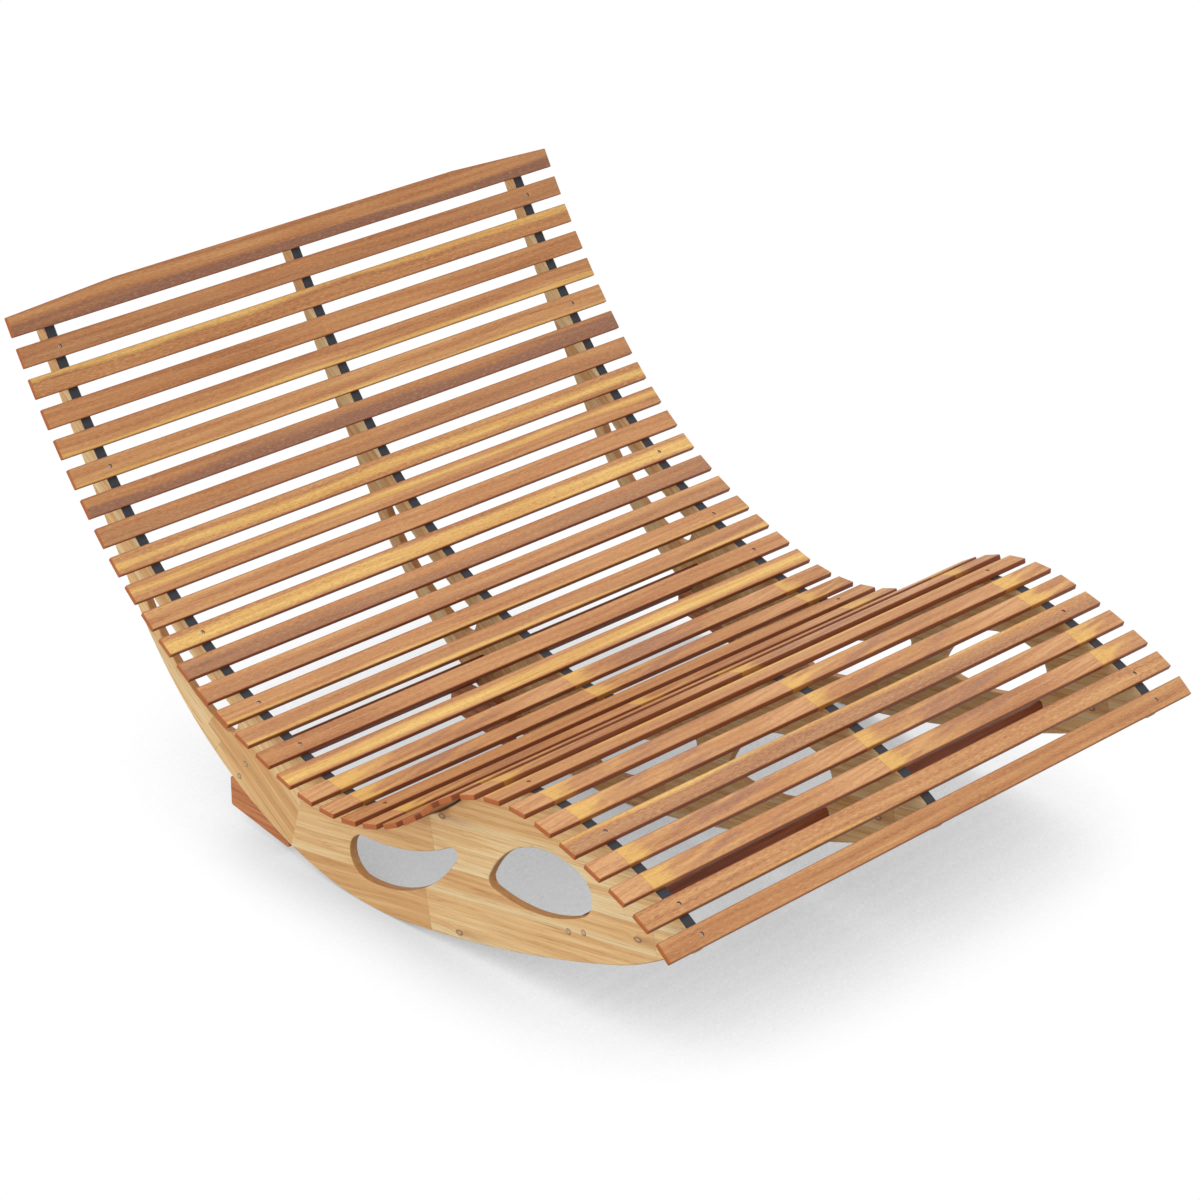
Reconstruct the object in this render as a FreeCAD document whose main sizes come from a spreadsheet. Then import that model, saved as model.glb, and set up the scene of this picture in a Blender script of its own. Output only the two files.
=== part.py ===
import FreeCAD, Part
import math
import os

import Sketcher
from FreeCAD import Placement, Rotation, Vector

# Double rocking lounger: a slatted seat for two on three curved rocker frames.
# +X runs across the seat, +Y towards the head end, +Z up. The origin lies on the floor, mid-width,
# under the line on which the rockers rest. Millimetres and degrees.

DIMENSIONS = [
    # Slats. Places along the seat are counted from the lowest point of the hollow.
    ("slat_length", 1300),
    ("slat_width", 37.5),
    ("slat_thickness", 10),
    ("slat_edge_round", 1.5),
    ("slat_pitch", 57.9),
    ("slat_shift", 4.6),
    ("head_slat_rise", 12),
    ("head_slat_taper", 240),
    # Webbing strap stapled along each frame, under the slats.
    ("strap_width", 21),
    ("strap_thickness", 2),
    ("seat_clearance", 0.35),
    # Frames: two boards, glued edge to edge.
    ("frame_spacing", 567),
    ("frame_thickness", 18),
    ("frame_edge_round", 2.5),
    ("rail_top_margin", 14),
    ("rail_top_depth", 31),
    ("rail_top_nose", 7),
    ("toe_margin", 6),
    ("toe_depth", 36),
    ("toe_nose", 11),
    # Seat edge, from the lowest point of the hollow to the head.
    ("hollow_height", 196),
    ("hollow_setback", 22),
    ("hollow_radius", 376),
    ("hollow_back_sweep", 19),
    ("seat_flat", 83),
    ("lumbar_radius", 922),
    ("lumbar_sweep", 31.3),
    ("back_radius", 1940),
    # Seat edge, from the lowest point of the hollow to the foot.
    ("hollow_front_sweep", 44.4),
    ("knee_radius", 286),
    ("knee_sweep", 57),
    ("calf_radius", 1034),
    ("calf_sweep", 12.6),
    ("foot_radius", 271),
    # Outer edge, from the floor contact.
    ("rocker_radius", 622),
    ("rocker_rear_sweep", 20.9),
    ("rocker_front_sweep", 9.1),
    ("rear_arm_radius", 796),
    ("rear_arm_sweep", 39.1),
    ("front_radius", 2530),
    ("front_sweep", 11.5),
    # Joint between the back board and the seat board.
    ("joint_seat_place", 132),
    ("joint_floor_place", 210),
    ("dowel_diameter", 8),
    ("dowel_length", 60),
    # Leaf-shaped slit between the back rail and the rear arm.
    ("rail_depth", 44),
    ("slit_start", 125),
    ("slit_length", 262),
    ("slit_bottom_width", 57),
    ("slit_middle_width", 54),
    ("slit_top_width", 20),
    # Crescent cut-out under the hollow.
    ("crescent_depth", 63),
    ("sole_depth", 49.5),
    ("crescent_setback", 16),
    ("crescent_radius", 267),
    ("crescent_tip_round", 11),
    # Egg-shaped cut-out under the knee.
    ("egg_crown_depth", 96),
    ("egg_height", 130),
    ("egg_top_radius", 168),
    ("egg_top_shift", 20),
    ("egg_bottom_radius", 291),
    ("egg_bottom_shift", 63),
    ("egg_rear_round", 14),
    ("egg_front_round", 44),
    # Stretcher boards between the frames.
    ("stretcher_width", 66),
    ("stretcher_thickness", 22),
    ("stretcher_edge_round", 5),
    ("rear_stretcher_place", 146),
    ("rear_stretcher_inset", 36),
    ("front_stretcher_place", 445),
    ("front_stretcher_inset", 53),
    # Rear stops: boards that touch the floor when the lounger rocks back.
    ("stop_thickness", 20),
    ("stop_front_reach", 235),
    ("stop_rear_reach", 392),
    ("stop_front_lift", 11),
    ("stop_rear_lift", 38),
    ("stop_stretcher_gap", 7),
    ("stop_corner_round", 4),
    # Fasteners.
    ("bore_clearance", 0.15),
    ("slat_screw_diameter", 3.4),
    ("slat_screw_head", 7),
    ("slat_screw_length", 28),
    ("slat_screw_sink", 1),
    ("stop_screw_diameter", 4),
    ("stop_screw_head", 8),
    ("stop_screw_length", 33),
    ("stop_screw_edge", 12),
    ("stop_screw_spacing", 30),
    ("stop_screw_drop", 14),
    ("bolt_diameter", 6),
    ("bolt_head_diameter", 10),
    ("bolt_head_height", 5),
    ("bolt_socket", 4),
    ("bolt_spacing", 37),
    ("bolt_reach", 44),
    ("cap_diameter", 11),
    ("cap_thickness", 3),
    ("nut_diameter", 10),
    ("nut_length", 16),
    ("nut_place", 32),
]

SLAT_COUNT = 35
HOLLOW_SLAT = 20
SCREWED_SLATS = (2, 6, 12, 15, 17, 21, 28, 31, 34, 35)
DOWEL_COUNT = 3
SIDES = {"left": -1, "middle": 0, "right": 1}

doc = FreeCAD.newDocument("rocking_lounger")
dims = doc.addObject("Spreadsheet::Sheet", "dims")
for row, (alias, value) in enumerate(DIMENSIONS, start=1):
    dims.set("A%d" % row, alias)
    dims.set("B%d" % row, str(value))
    dims.setAlias("B%d" % row, alias)
doc.recompute()


def size(alias):
    return float(dims.get(alias))


# Plane geometry. A place in a frame's plane is a pair (y, z).


def add(place, direction, distance):
    return place[0] + direction[0] * distance, place[1] + direction[1] * distance


def along(angle):
    return math.cos(angle), math.sin(angle)


def across(angle):
    """Direction a quarter turn to the left of an angle."""
    return -math.sin(angle), math.cos(angle)


def middle_of(first, second):
    return (first[0] + second[0]) / 2, (first[1] + second[1]) / 2


def bulged(start, end, rise):
    """Arc from start to end that swells by rise to the right of the way it runs."""
    heading = math.atan2(end[1] - start[1], end[0] - start[0])
    return start, add(middle_of(start, end), across(heading), -rise), end


def straight(start, end):
    return start, None, end


def polygon(corners):
    """Straight runs from corner to corner and back to the first."""
    return [straight(start, end) for start, end in zip(corners, corners[1:] + corners[:1])]


def circle_through(first, second, third):
    ax, ay = second[0] - first[0], second[1] - first[1]
    bx, by = third[0] - first[0], third[1] - first[1]
    double = 2 * (ax * by - ay * bx)
    cx = (by * (ax * ax + ay * ay) - ay * (bx * bx + by * by)) / double
    cy = (ax * (bx * bx + by * by) - bx * (ax * ax + ay * ay)) / double
    return (first[0] + cx, first[1] + cy), math.hypot(cx, cy)


def circles_meet(first, first_radius, second, second_radius, side):
    """Where two circles cross, to the left (1) or right (-1) of the line between their centres."""
    heading = math.atan2(second[1] - first[1], second[0] - first[0])
    gap = math.hypot(second[0] - first[0], second[1] - first[1])
    reach = (first_radius ** 2 - second_radius ** 2 + gap ** 2) / (2 * gap)
    offset = math.sqrt(first_radius ** 2 - reach ** 2)
    return add(add(first, along(heading), reach), across(heading), side * offset)


def towards(start, end, distance):
    heading = math.atan2(end[1] - start[1], end[0] - start[0])
    return add(start, along(heading), distance)


def arc_about(centre, start, end, counter_clockwise):
    """Arc from start to end about a centre."""
    first = math.atan2(start[1] - centre[1], start[0] - centre[0])
    last = math.atan2(end[1] - centre[1], end[0] - centre[0])
    turn = (last - first) % (2 * math.pi)
    if not counter_clockwise:
        turn -= 2 * math.pi
    radius = math.hypot(start[0] - centre[0], start[1] - centre[1])
    return start, add(centre, along(first + turn / 2), radius), end


class Track:
    """A path of tangent arcs and straight runs, measured by the distance along it."""

    def __init__(self, start, heading):
        self.point = start
        self.heading = heading
        self.length = 0.0
        self.runs = []

    def _run(self, length, curvature):
        self.runs.append((self.length, length, self.point, self.heading, curvature))
        self.point, self.heading = self._advance(self.runs[-1], length)
        self.length += length

    @staticmethod
    def _advance(run, distance):
        start, heading, curvature = run[2:]
        turned = heading + curvature * distance
        if abs(curvature * distance) < 1e-9:
            return add(start, along(heading), distance), turned
        centre = add(start, across(heading), 1 / curvature)
        return add(centre, across(turned), -1 / curvature), turned

    def straight(self, length):
        self._run(length, 0.0)

    def left(self, radius, sweep):
        self._run(radius * math.radians(sweep), 1 / radius)

    def right(self, radius, sweep):
        self._run(radius * math.radians(sweep), -1 / radius)

    def arc_to(self, target):
        """Goes on to a target by the one arc that is tangent to the path so far."""
        chord = math.hypot(target[0] - self.point[0], target[1] - self.point[1])
        bearing = math.atan2(target[1] - self.point[1], target[0] - self.point[0])
        half = math.remainder(bearing - self.heading, 2 * math.pi)
        curvature = 2 * math.sin(half) / chord
        self._run(chord * half / math.sin(half) if half else chord, curvature)

    def place(self, distance):
        """Point and heading at a distance along the path."""
        run = [item for item in self.runs if item[0] <= distance or item is self.runs[0]][-1]
        return self._advance(run, distance - run[0])

    def pieces(self, first, last, offset=0.0):
        """Arcs and lines from one distance to another, moved to the left by an offset."""
        low, high = min(first, last), max(first, last)
        breaks = [low] + [run[0] for run in self.runs if low < run[0] < high] + [high]
        result = []
        for start, end in zip(breaks, breaks[1:]):
            points = []
            for distance in (start, (start + end) / 2, end):
                point, heading = self.place(distance)
                points.append(add(point, across(heading), offset))
            bends = abs(self.place(start)[1] - self.place((start + end) / 2)[1]) > 1e-9
            result.append((points[0], points[1] if bends else None, points[2]))
        if first > last:
            result = [(end, middle, start) for start, middle, end in reversed(result)]
        return result


# Document helpers.


def plane(body, role):
    return next(item for item in body.Origin.OriginFeatures if item.Role == role)


def new_body(label):
    body = doc.addObject("PartDesign::Body", label)
    body.Label = label
    return body


def new_sketch(body, role, name):
    sketch = body.newObject("Sketcher::SketchObject", body.Name + "_" + name)
    sketch.AttachmentSupport = [(plane(body, role), "")]
    sketch.MapMode = "FlatFace"
    return sketch


def draw(sketch, segments):
    """Draws a closed outline of (start, middle, end) segments, joined end to end."""
    ends = []
    for start, middle, end in segments:
        if middle is None:
            index = sketch.addGeometry(Part.LineSegment(Vector(*start, 0), Vector(*end, 0)), False)
            ends.append((index, 1, 2))
            continue
        centre, radius = circle_through(start, middle, end)
        first = math.atan2(start[1] - centre[1], start[0] - centre[0])
        last = math.atan2(end[1] - centre[1], end[0] - centre[0])
        turn = ((middle[0] - start[0]) * (end[1] - middle[1])
                - (middle[1] - start[1]) * (end[0] - middle[0]))
        circle = Part.Circle(Vector(*centre, 0), Vector(0, 0, 1), radius)
        low, high = (first, last) if turn > 0 else (last, first)
        arc = Part.ArcOfCircle(circle, low, low + (high - low) % (2 * math.pi))
        index = sketch.addGeometry(arc, False)
        ends.append((index, 1, 2) if turn > 0 else (index, 2, 1))
    for (index, _, leaves), (after, enters, _) in zip(ends, ends[1:] + ends[:1]):
        sketch.addConstraint(Sketcher.Constraint("Coincident", index, leaves, after, enters))


def pad(body, sketch, length, reversed_side=False, symmetric=True):
    feature = body.newObject("PartDesign::Pad", body.Name + "_pad")
    feature.Profile = sketch
    feature.setExpression("Length", length)
    feature.Reversed = reversed_side
    if symmetric:
        feature.SideType = "Symmetric"
    doc.recompute()
    return feature


def cut_through(body, segments, name):
    """Cuts an outline right through a board that lies in the YZ plane."""
    sketch = new_sketch(body, "YZ_Plane", name + "_outline")
    draw(sketch, segments)
    before = body.Shape.Volume
    pocket = body.newObject("PartDesign::Pocket", body.Name + "_" + name)
    pocket.Profile = sketch
    pocket.SideType = "Symmetric"
    pocket.setExpression("Length", "dims.frame_thickness * 2")
    doc.recompute()
    if body.Shape.Volume >= before:
        raise RuntimeError(name + " cuts nothing")


def round_edges(body, radius, wanted):
    """Rounds the edges of a body's newest solid for which wanted(edge) holds."""
    base = body.Tip
    names = ["Edge%d" % (i + 1) for i, edge in enumerate(base.Shape.Edges) if wanted(edge)]
    fillet = body.newObject("PartDesign::Fillet", body.Name + "_round")
    fillet.Base = (base, names)
    fillet.setExpression("Radius", radius)
    doc.recompute()


def rod(start, direction, radius, length):
    return Part.makeCylinder(radius, length, start, direction)


def drilled(base, bores, label):
    """A piece with its bores taken out of it."""
    tool = doc.addObject("Part::Feature", label + "_bores")
    tool.Shape = Part.makeCompound(bores)
    cut = doc.addObject("Part::Cut", label)
    cut.Base = base
    cut.Tool = tool
    cut.Label = label
    doc.recompute()
    return cut


def group(label, prototype, placements):
    """Copies of one fastener, as separate solids under one label."""
    feature = doc.addObject("Part::Feature", label)
    copies = []
    for placement in placements:
        copy = prototype.Shape.copy()
        copy.Placement = placement
        copies.append(copy)
    feature.Shape = Part.makeCompound(copies)
    feature.Label = label
    return feature


def axis_placement(start, direction):
    """Placement that takes local Z to a direction."""
    return Placement(start, Rotation(Vector(0, 0, 1), direction))


def tilted(x, place, angle):
    """Placement that takes local Y and Z to the frame's plane, turned by an angle about X."""
    return Placement(Vector(x, *place), Rotation(Vector(1, 0, 0), math.degrees(angle)))


# Seat edge and outer edge of a frame.

hollow_low = (size("hollow_setback"), size("hollow_height"))
hollow_centre = add(hollow_low, (0, 1), size("hollow_radius"))

seat_to_head = Track(hollow_low, 0)
seat_to_head.left(size("hollow_radius"), size("hollow_back_sweep"))
seat_to_head.straight(size("seat_flat"))
seat_to_head.left(size("lumbar_radius"), size("lumbar_sweep"))
lumbar_start = seat_to_head.runs[2][0]
seat_to_head.left(size("back_radius"), 1)

seat_to_foot = Track(hollow_low, math.pi)
seat_to_foot.right(size("hollow_radius"), size("hollow_front_sweep"))
knee_start, knee_heading = seat_to_foot.point, seat_to_foot.heading
knee_centre = add(knee_start, across(knee_heading), size("knee_radius"))
seat_to_foot.left(size("knee_radius"), size("knee_sweep"))
seat_to_foot.left(size("calf_radius"), size("calf_sweep"))
seat_to_foot.left(size("foot_radius"), 1)


def slat_place(number):
    """Distance of a slat from the lowest point of the hollow, positive towards the head."""
    return (HOLLOW_SLAT - number) * size("slat_pitch") - size("slat_shift")


def seat_place(distance):
    """Point on the seat edge and its tilt about X, positive where it climbs to the head."""
    if distance >= 0:
        return seat_to_head.place(distance)
    point, heading = seat_to_foot.place(-distance)
    return point, heading - math.pi


head_end = slat_place(1) + size("rail_top_margin")
foot_end = -slat_place(SLAT_COUNT) + size("toe_margin")
rail_top, rail_top_tilt = seat_place(head_end)
rail_top_rear = add(rail_top, across(rail_top_tilt), -size("rail_top_depth"))
toe_top, toe_tilt = seat_place(-foot_end)
toe_bottom = add(toe_top, across(toe_tilt), -size("toe_depth"))

outer_to_head = Track((0, 0), 0)
outer_to_head.left(size("rocker_radius"), size("rocker_rear_sweep"))
rear_arm_start = outer_to_head.length
outer_to_head.left(size("rear_arm_radius"), size("rear_arm_sweep"))
outer_to_head.arc_to(rail_top_rear)

outer_to_foot = Track((0, 0), math.pi)
outer_to_foot.right(size("rocker_radius"), size("rocker_front_sweep"))
front_start = outer_to_foot.length
outer_to_foot.right(size("front_radius"), size("front_sweep"))
outer_to_foot.arc_to(toe_bottom)

joint_top, _ = seat_place(size("joint_seat_place"))
joint_bottom, _ = outer_to_head.place(size("joint_floor_place"))

back_board_outline = (
    seat_to_head.pieces(size("joint_seat_place"), head_end)
    + [bulged(rail_top_rear, rail_top, size("rail_top_nose"))[::-1]]
    + outer_to_head.pieces(outer_to_head.length, size("joint_floor_place"))
    + [straight(joint_bottom, joint_top)]
)

seat_board_outline = (
    [straight(joint_bottom, joint_top)]
    + seat_to_head.pieces(size("joint_seat_place"), 0)
    + seat_to_foot.pieces(0, foot_end)
    + [bulged(toe_top, toe_bottom, size("toe_nose"))]
    + outer_to_foot.pieces(outer_to_foot.length, 0)
    + outer_to_head.pieces(0, size("joint_floor_place"))
)


# Cut-outs of a frame.


def slit_outline():
    """A teardrop that keeps the back rail at one depth, widest at its lower end."""
    depth = size("rail_depth")
    start = lumbar_start + size("slit_start")
    stations = [start + size("slit_length") * share for share in (0, 0.5, 1)]
    widths = [size("slit_bottom_width"), size("slit_middle_width"), size("slit_top_width")]
    rail_side, arm_side = [], []
    for station, width in zip(stations, widths):
        point, heading = seat_to_head.place(station)
        rail_side.append(add(point, across(heading), -depth))
        arm_side.append(add(point, across(heading), -depth - width))
    return [
        tuple(rail_side),
        bulged(rail_side[2], arm_side[2], -widths[2] / 2),
        tuple(reversed(arm_side)),
        bulged(arm_side[0], rail_side[0], -widths[0] / 2),
    ]


def crescent_outline():
    """A moon under the hollow: round at the rear, narrowing to a tip towards the foot."""
    upper_radius = size("hollow_radius") + size("crescent_depth")
    lower_radius = size("crescent_radius")
    rear = hollow_centre[0] - size("crescent_setback")
    drop = math.sqrt(upper_radius ** 2 - size("crescent_setback") ** 2)
    upper_rear = (rear, hollow_centre[1] - drop)
    lower_rear = (rear, size("sole_depth"))
    lower_centre = add(lower_rear, (0, 1), lower_radius)
    tip_round = size("crescent_tip_round")
    tip = circles_meet(hollow_centre, upper_radius + tip_round,
                       lower_centre, lower_radius - tip_round, -1)
    upper_tip = towards(hollow_centre, tip, upper_radius)
    lower_tip = towards(lower_centre, tip, lower_radius)
    return [
        arc_about(hollow_centre, upper_rear, upper_tip, False),
        arc_about(tip, upper_tip, lower_tip, True),
        arc_about(lower_centre, lower_tip, lower_rear, True),
        bulged(lower_rear, upper_rear, (upper_rear[1] - lower_rear[1]) / 2),
    ]


def egg_outline():
    """An egg under the knee, blunt towards the foot, with a flat belly."""
    top_radius, bottom_radius = size("egg_top_radius"), size("egg_bottom_radius")
    crown = knee_centre[1] + size("knee_radius") - size("egg_crown_depth")
    top_centre = (knee_centre[0] - size("egg_top_shift"), crown - top_radius)
    belly = crown - size("egg_height")
    bottom_centre = (knee_centre[0] + size("egg_bottom_shift"), belly + bottom_radius)
    corners = []
    for side, corner_round in ((-1, size("egg_rear_round")), (1, size("egg_front_round"))):
        centre = circles_meet(top_centre, top_radius - corner_round,
                              bottom_centre, bottom_radius - corner_round, side)
        on_top = towards(top_centre, centre, top_radius)
        on_bottom = towards(bottom_centre, centre, bottom_radius)
        corners.append((centre, on_top, on_bottom))
    (rear, rear_top, rear_bottom), (front, front_top, front_bottom) = corners
    return [
        arc_about(top_centre, rear_top, front_top, True),
        arc_about(front, front_top, front_bottom, True),
        arc_about(bottom_centre, front_bottom, rear_bottom, True),
        arc_about(rear, rear_bottom, rear_top, True),
    ]


# Where the stretchers and stops sit in the plane of the frames.

arm_point, arm_heading = outer_to_head.place(rear_arm_start + size("rear_stretcher_place"))
rear_stretcher_place = add(arm_point, across(arm_heading), size("rear_stretcher_inset"))
rear_stretcher_tilt = arm_heading + math.pi / 2

sole_point, sole_heading = outer_to_foot.place(front_start + size("front_stretcher_place"))
front_stretcher_place = add(sole_point, across(sole_heading), -size("front_stretcher_inset"))
front_stretcher_tilt = sole_heading - math.pi

STRETCHERS = {
    "rear": (rear_stretcher_place, rear_stretcher_tilt),
    "front": (front_stretcher_place, front_stretcher_tilt),
}
BAYS = {"left": -1, "right": 1}

stretcher_foot = add(rear_stretcher_place, along(rear_stretcher_tilt), -size("stretcher_width") / 2)
stretcher_corner = add(stretcher_foot, across(rear_stretcher_tilt), size("stretcher_thickness") / 2)
stop_top = stretcher_corner[1] - size("stop_stretcher_gap")
stop_outline = [
    (size("stop_front_reach"), size("stop_front_lift")),
    (size("stop_rear_reach"), size("stop_rear_lift")),
    (size("stop_rear_reach"), stop_top),
    (size("stop_front_reach"), stop_top),
]
# Face of the frame that each stop is screwed to: 1 for the +X face, -1 for the -X face.
STOP_FACES = {"left": 1, "middle": -1, "right": 1}


def frame_x(side):
    return SIDES[side] * size("frame_spacing")


def bolt_places(stretcher):
    place, tilt = STRETCHERS[stretcher]
    return [add(place, along(tilt), share * size("bolt_spacing")) for share in (-0.5, 0.5)]


def stop_screw_places():
    first = size("stop_front_reach") + size("stop_screw_edge")
    height = stop_top - size("stop_screw_drop")
    return [(first, height), (first + size("stop_screw_spacing"), height)]


# Prototypes of the fasteners, each along its own Z axis.


def turned(label, profile):
    """A solid of revolution about Z from a closed profile of (radius, height) corners."""
    body = new_body(label)
    sketch = new_sketch(body, "XZ_Plane", "profile")
    draw(sketch, polygon(profile))
    turn = body.newObject("PartDesign::Revolution", label + "_turn")
    turn.Profile = sketch
    turn.ReferenceAxis = (sketch, ["V_Axis"])
    turn.Angle = 360
    doc.recompute()
    return body


def countersunk_screw(label, prefix):
    """Screw that points along -Z from the middle of its countersunk head's flat top."""
    radius, head = size(prefix + "_diameter") / 2, size(prefix + "_head") / 2
    length = size(prefix + "_length")
    return turned(label, [
        (0, 0), (head, 0), (radius, radius - head), (radius, 2 * radius - length), (0, -length),
    ])


def head_bore(start, direction, prefix, sink):
    """Bore for a countersunk screw whose head lies a sink below a face."""
    gap = size("bore_clearance")
    radius, head = size(prefix + "_diameter") / 2 + gap, size(prefix + "_head") / 2 + gap
    top = start - direction * gap
    cone = Part.makeCone(head + sink + gap, radius, head + sink + gap - radius, top, direction)
    return [cone, rod(start, direction, radius, size(prefix + "_length") + sink + gap)]


slat_screw = countersunk_screw("slat_screw", "slat_screw")
stop_screw = countersunk_screw("stop_screw", "stop_screw")

bolt_radius, bolt_head = size("bolt_diameter") / 2, size("bolt_head_diameter") / 2
recess_depth = size("cap_thickness") + size("bolt_head_height")
bolt_length = size("frame_thickness") - recess_depth + size("bolt_reach")
bolt = turned("bolt", [
    (0, size("bolt_head_height")), (bolt_head, size("bolt_head_height")), (bolt_head, 0),
    (bolt_radius, 0), (bolt_radius, -bolt_length), (0, -bolt_length),
])
socket_sketch = new_sketch(bolt, "XY_Plane", "socket")
socket_sketch.AttachmentOffset = Placement(Vector(0, 0, size("bolt_head_height")), Rotation())
socket_reach = size("bolt_socket") / math.sqrt(3)
socket_corners = [add((0, 0), along(math.radians(60 * corner)), socket_reach) for corner in range(6)]
draw(socket_sketch, polygon(socket_corners))
socket = bolt.newObject("PartDesign::Pocket", "bolt_socket_pocket")
socket.Profile = socket_sketch
socket.setExpression("Length", "dims.bolt_head_height / 2")
doc.recompute()

cap = doc.addObject("Part::Cylinder", "cap")
cap.setExpression("Radius", "dims.cap_diameter / 2")
cap.setExpression("Height", "dims.cap_thickness")

stud = doc.addObject("Part::Cylinder", "stud")
stud.setExpression("Radius", "dims.bolt_diameter / 2")
stud.setExpression("Height", "dims.frame_thickness + 2 * dims.bolt_reach")

dowel = doc.addObject("Part::Cylinder", "dowel")
dowel.setExpression("Radius", "dims.dowel_diameter / 2")
dowel.setExpression("Height", "dims.dowel_length")

nut_blank = doc.addObject("Part::Cylinder", "nut_blank")
nut_blank.setExpression("Radius", "dims.nut_diameter / 2")
nut_blank.setExpression("Height", "dims.nut_length")
nut_blank.setExpression("Placement.Base.z", "-dims.nut_length / 2")
nut_thread = doc.addObject("Part::Cylinder", "nut_thread")
nut_thread.setExpression("Radius", "dims.bolt_diameter / 2 + dims.bore_clearance")
nut_thread.setExpression("Height", "dims.nut_diameter * 2")
nut_thread.Placement = Placement(Vector(-size("nut_diameter"), 0, 0), Rotation(Vector(0, 1, 0), 90))
nut = doc.addObject("Part::Cut", "nut")
nut.Base = nut_blank
nut.Tool = nut_thread
doc.recompute()


# Sub-parts. Each function returns the objects whose labels name the pieces.


def slat_lift():
    """Height of a slat's top face over the seat edge."""
    return size("strap_thickness") + 2 * size("seat_clearance") + size("slat_thickness")


def slat_screw_heads(number, side):
    """Start and direction of the screw through a slat, at the middle of the slat's top face."""
    point, tilt = seat_place(slat_place(number))
    top = add(point, across(tilt), slat_lift())
    return Vector(frame_x(side), *top), Vector(0, *across(tilt)) * -1


def make_slat(number):
    """One slat with softly rounded edges, drilled where it is screwed to the outer frames."""
    label = "slat_%02d" % number
    screwed = number in SCREWED_SLATS
    body = new_body(label + ("_blank" if screwed else ""))
    half_length, half_width = size("slat_length") / 2, size("slat_width") / 2
    if number == 1:
        sketch = new_sketch(body, "XY_Plane", "plan")
        shoulder = half_length - size("head_slat_taper")
        crown = half_width + size("head_slat_rise")
        draw(sketch, polygon([
            (-half_length, -half_width), (half_length, -half_width), (half_length, half_width),
            (shoulder, crown), (-shoulder, crown), (-half_length, half_width),
        ]))
        pad(body, sketch, "dims.slat_thickness", reversed_side=True, symmetric=False)
        round_edges(body, "dims.slat_edge_round", lambda edge: edge.Length > 2 * size("slat_width"))
    else:
        sketch = new_sketch(body, "YZ_Plane", "section")
        bottom = -size("slat_thickness")
        draw(sketch, rounded_box(-half_width, bottom, half_width, 0, size("slat_edge_round")))
        pad(body, sketch, "dims.slat_length")
    point, tilt = seat_place(slat_place(number))
    body.Placement = tilted(0, add(point, across(tilt), slat_lift()), tilt)
    doc.recompute()
    if not screwed:
        return [body]
    bores = []
    for side in ("left", "right"):
        start, direction = slat_screw_heads(number, side)
        bores += head_bore(start, direction, "slat_screw", size("slat_screw_sink"))
    return [drilled(body, bores, label)]


def rounded_box(left, bottom, right, top, corner):
    """Outline of a rectangle with round corners, counter-clockwise."""
    centres = [(right - corner, bottom + corner), (right - corner, top - corner),
               (left + corner, top - corner), (left + corner, bottom + corner)]
    arcs = []
    for quarter, centre in enumerate(centres):
        first = math.radians(90 * (quarter - 1))
        arcs.append(arc_about(centre, add(centre, along(first), corner),
                              add(centre, along(first + math.pi / 2), corner), True))
    outline = []
    for arc, after in zip(arcs, arcs[1:] + arcs[:1]):
        outline += [arc, straight(arc[2], after[0])]
    return outline


def make_strap(side):
    """Webbing strap that follows the seat edge from the head slat to the foot slat."""
    label = side + "_strap"
    screwed = SCREWED_SLATS if SIDES[side] else ()
    body = new_body(label + ("_blank" if screwed else ""))
    low = size("seat_clearance")
    high = low + size("strap_thickness")
    head, foot = slat_place(1), -slat_place(SLAT_COUNT)
    under = seat_to_foot.pieces(foot, 0, -low) + seat_to_head.pieces(0, head, low)
    over = seat_to_head.pieces(head, 0, high) + seat_to_foot.pieces(0, foot, -high)
    sketch = new_sketch(body, "YZ_Plane", "side")
    head_cut = straight(under[-1][2], over[0][0])
    foot_cut = straight(over[-1][2], under[0][0])
    draw(sketch, under + [head_cut] + over + [foot_cut])
    pad(body, sketch, "dims.strap_width")
    body.Placement.Base = Vector(frame_x(side), 0, 0)
    doc.recompute()
    if not screwed:
        return [body]
    bores = []
    for number in screwed:
        start, direction = slat_screw_heads(number, side)
        radius = size("slat_screw_diameter") / 2 + size("bore_clearance")
        bores.append(rod(start, direction, radius, size("slat_screw_length")))
    return [drilled(body, bores, label)]


def frame_bores(side):
    """Every bore in one frame: slat screws, bolts with their recesses, dowels and stop screws."""
    gap = size("bore_clearance")
    half = size("frame_thickness") / 2
    x = frame_x(side)
    bores = []
    for number in SCREWED_SLATS if SIDES[side] else ():
        start, direction = slat_screw_heads(number, side)
        length = size("slat_screw_length") + size("slat_screw_sink") + gap
        bores.append(rod(start, direction, size("slat_screw_diameter") / 2 + gap, length))
    for stretcher in STRETCHERS:
        for place in bolt_places(stretcher):
            bores.append(rod(Vector(x - half, *place), Vector(1, 0, 0), bolt_radius + gap, 2 * half))
            if SIDES[side]:
                outward = Vector(SIDES[side], 0, 0)
                mouth = Vector(x, *place) + outward * half
                bores.append(rod(mouth, outward * -1, size("cap_diameter") / 2 + gap, recess_depth))
    for start, direction in dowel_axes(side):
        bores.append(rod(start - direction * gap, direction, size("dowel_diameter") / 2 + gap,
                         size("dowel_length") + 2 * gap))
    for start, direction in stop_screw_axes(side):
        bores.append(rod(start, direction, size("stop_screw_diameter") / 2 + gap,
                         size("stop_screw_length") + gap))
    return bores


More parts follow.
